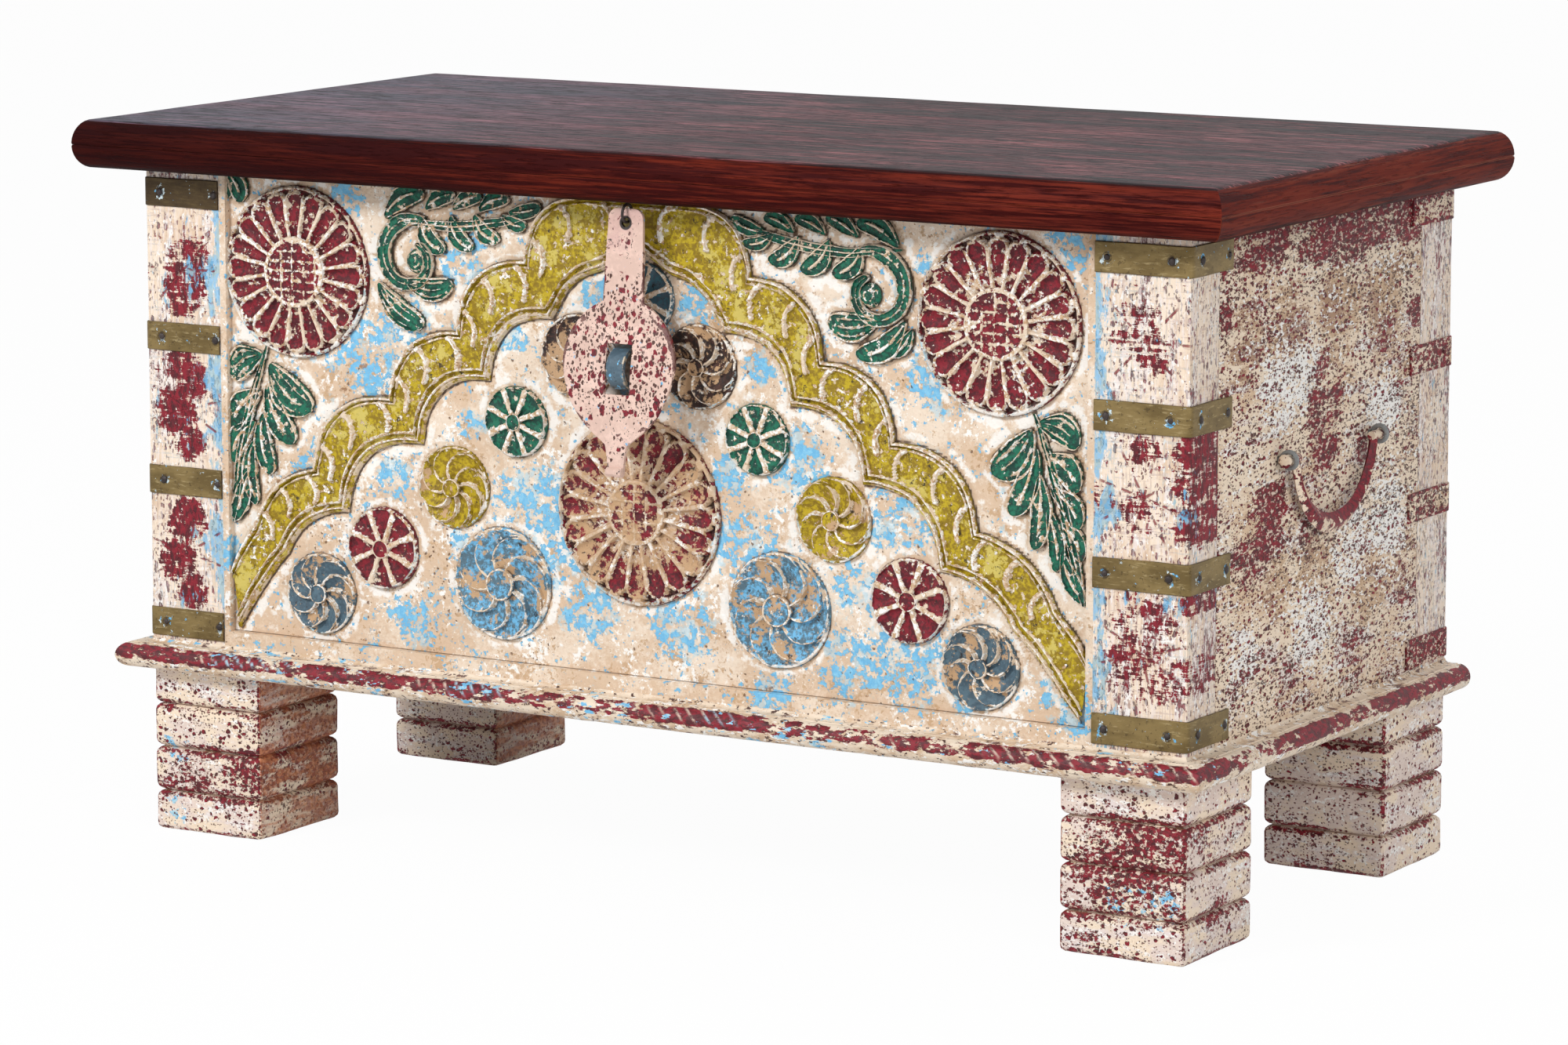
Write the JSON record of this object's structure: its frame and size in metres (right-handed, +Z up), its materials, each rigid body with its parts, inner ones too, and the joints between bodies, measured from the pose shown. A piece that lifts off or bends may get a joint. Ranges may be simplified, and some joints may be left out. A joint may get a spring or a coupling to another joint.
{
  "type": "carved chest",
  "caption": "Carved and painted wooden chest on block feet with an overhanging lid, corner straps, a hasp and staple, and end handles.",
  "frame": {"origin": "on the floor under the middle of the lid", "axes": "+Z up, the carved front faces -Y, +X to the right seen from the front"},
  "size_m": [0.9, 0.4494, 0.5089],
  "materials": {
    "lid_board_wood": "dark mahogany stain with a soft satin sheen",
    "lid_edge_wood": "mahogany stain, satin, worn at the nose",
    "carved_panel": "carved wood with distressed paint in several colours over a pale ground",
    "painted_posts": "distressed cream paint with crimson and blue streaks",
    "painted_sides": "distressed beige paint speckled with crimson and brown",
    "plain_boards": "bare brown wood, left plain",
    "painted_moulding": "distressed cream paint, the nose rubbed crimson",
    "painted_feet": "distressed cream paint speckled with crimson",
    "brass_straps": "dark aged brass with dull scratches",
    "painted_straps": "brass mostly covered by distressed cream paint",
    "painted_hasp": "forged iron under worn pinkish cream paint",
    "bare_iron": "worn grey forged iron",
    "painted_handles": "forged iron under worn cream and crimson paint",
    "hinge_iron": "plain dark forged iron"
  },
  "bodies": {
    "chest": {"back_board": "plain_boards", "bottom_board": "plain_boards", "front_panel": "carved_panel", "front_post_left": "painted_posts", "front_post_right": "painted_posts", "handle_eyes": "painted_handles", "hinge_body_leaf_left": "hinge_iron", "hinge_body_leaf_right": "hinge_iron", "hinge_body_nails": "hinge_iron", "hinge_pin_left": "hinge_iron", "hinge_pin_right": "hinge_iron", "leg_front_left": "painted_feet", "leg_front_right": "painted_feet", "leg_rear_left": "painted_feet", "leg_rear_right": "painted_feet", "lock_staple": "bare_iron", "moulding_front": "painted_moulding", "moulding_left": "painted_moulding", "moulding_right": "painted_moulding", "rear_post_left": "painted_posts", "rear_post_right": "painted_posts", "side_board_left": "painted_sides", "side_board_right": "painted_sides", "strap_front_left_bottom": "brass_straps", "strap_front_left_lower": "brass_straps", "strap_front_left_top": "brass_straps", "strap_front_left_upper": "brass_straps", "strap_front_right_bottom": "brass_straps", "strap_front_right_lower": "brass_straps", "strap_front_right_top": "brass_straps", "strap_front_right_upper": "brass_straps", "strap_nails_front": "brass_straps", "strap_nails_rear": "painted_straps", "strap_rear_left_bottom": "painted_straps", "strap_rear_left_lower": "painted_straps", "strap_rear_left_top": "painted_straps", "strap_rear_left_upper": "painted_straps", "strap_rear_right_bottom": "painted_straps", "strap_rear_right_lower": "painted_straps", "strap_rear_right_top": "painted_straps", "strap_rear_right_upper": "painted_straps"},
    "lid": {"hasp_eye": "bare_iron", "hinge_lid_leaf_left": "hinge_iron", "hinge_lid_leaf_right": "hinge_iron", "hinge_lid_nails": "hinge_iron", "lid_board": "lid_board_wood", "lid_edge_back": "lid_edge_wood", "lid_edge_front": "lid_edge_wood", "lid_edge_left": "lid_edge_wood", "lid_edge_right": "lid_edge_wood"},
    "hasp": {"hasp": "painted_hasp"},
    "handle_left": {"handle_left": "painted_handles"},
    "handle_right": {"handle_right": "painted_handles"}
  },
  "joints": [
    {"name": "lid_open", "type": "hinge", "parent": "chest", "child": "lid", "pos_m": [0, 0.2129, 0.4691], "axis": [-1, 0, 0], "range_deg": [0, 100]},
    {"name": "hasp_swing", "type": "hinge", "parent": "lid", "child": "hasp", "pos_m": [0, -0.206, 0.4668], "axis": [-1, 0, 0], "range_deg": [-4.3, 80]},
    {"name": "handle_right_swing", "type": "hinge", "parent": "chest", "child": "handle_right", "pos_m": [0.419, 0.0093, 0.3145], "axis": [0, -1, 0], "range_deg": [0, 180]},
    {"name": "handle_left_swing", "type": "hinge", "parent": "chest", "child": "handle_left", "pos_m": [-0.419, 0.0093, 0.3145], "axis": [0, 1, 0], "range_deg": [0, 180]}
  ]
}
